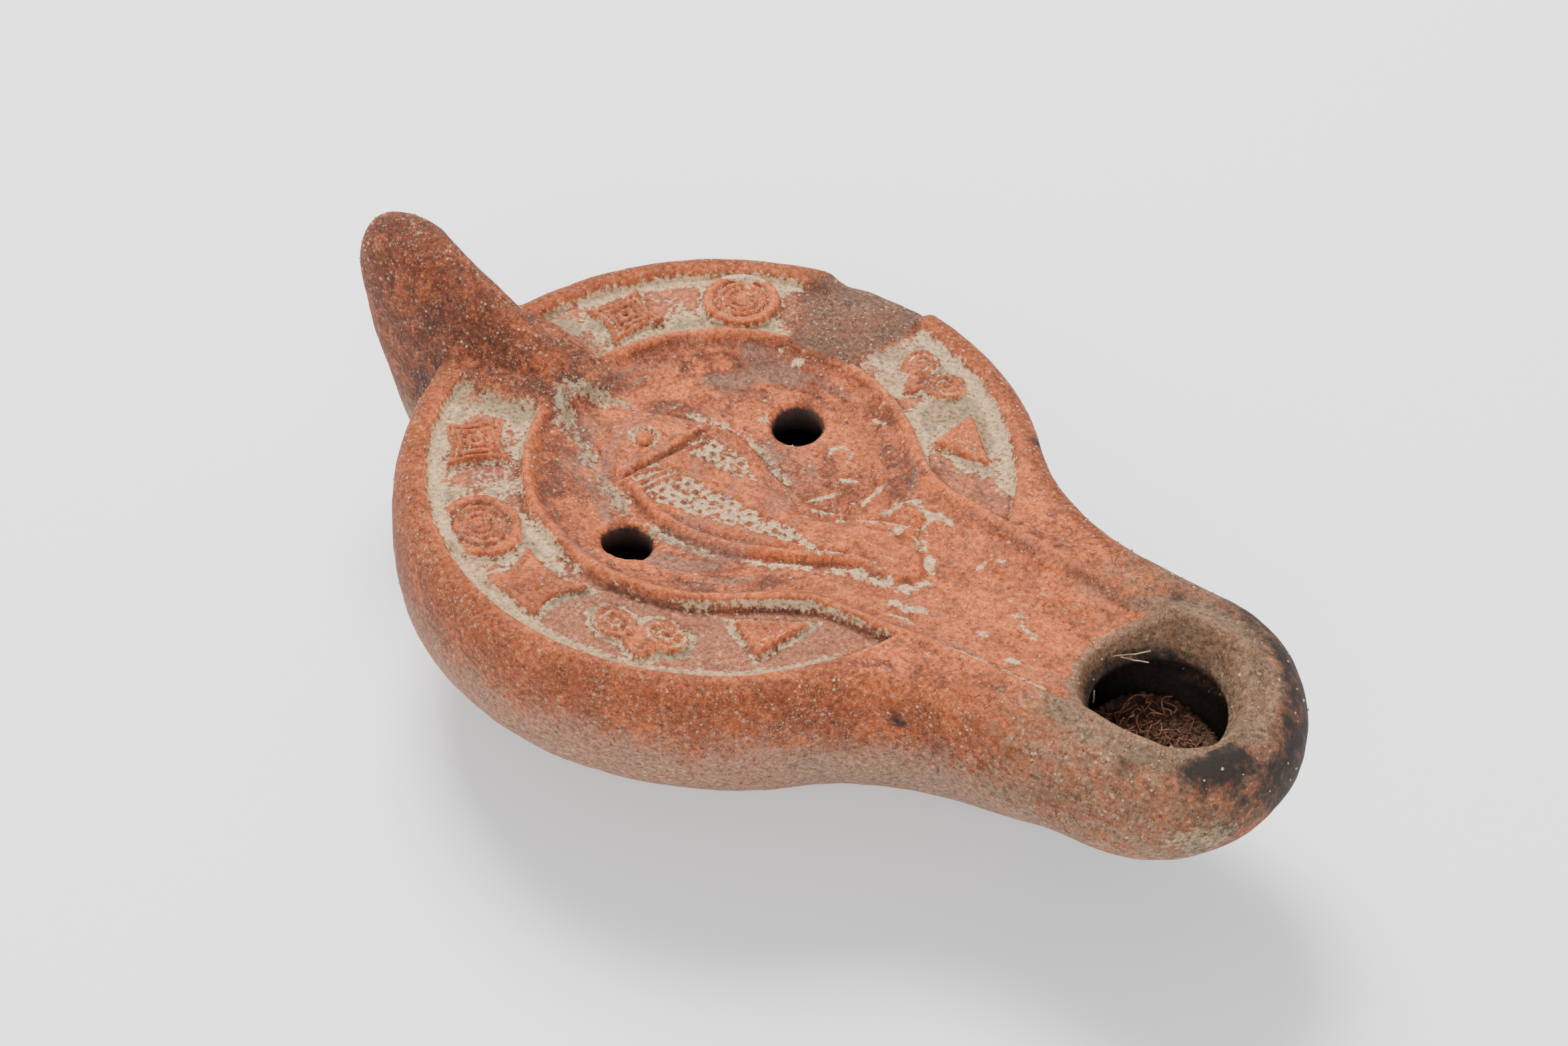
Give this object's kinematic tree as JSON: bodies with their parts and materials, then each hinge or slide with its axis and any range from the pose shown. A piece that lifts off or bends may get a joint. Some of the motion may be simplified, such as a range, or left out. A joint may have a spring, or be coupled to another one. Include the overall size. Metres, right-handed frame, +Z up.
{
  "type": "ceramic oil lamp",
  "caption": "Mould-made red earthenware oil lamp with a fish in relief on its sunken discus, a stamped shoulder, a channelled nozzle and a raking fin handle.",
  "frame": {"origin": "centre of the flat underside of the foot, under the middle of the reservoir", "axes": "+X along the lamp towards the nozzle, +Z up from the base to the discus"},
  "size_m": [0.1467, 0.0864, 0.0468],
  "materials": {
    "clay": "matt, worn, with lime and soot"
  },
  "bodies": {
    "root": {"oil_lamp": "clay"}
  },
  "joints": []
}
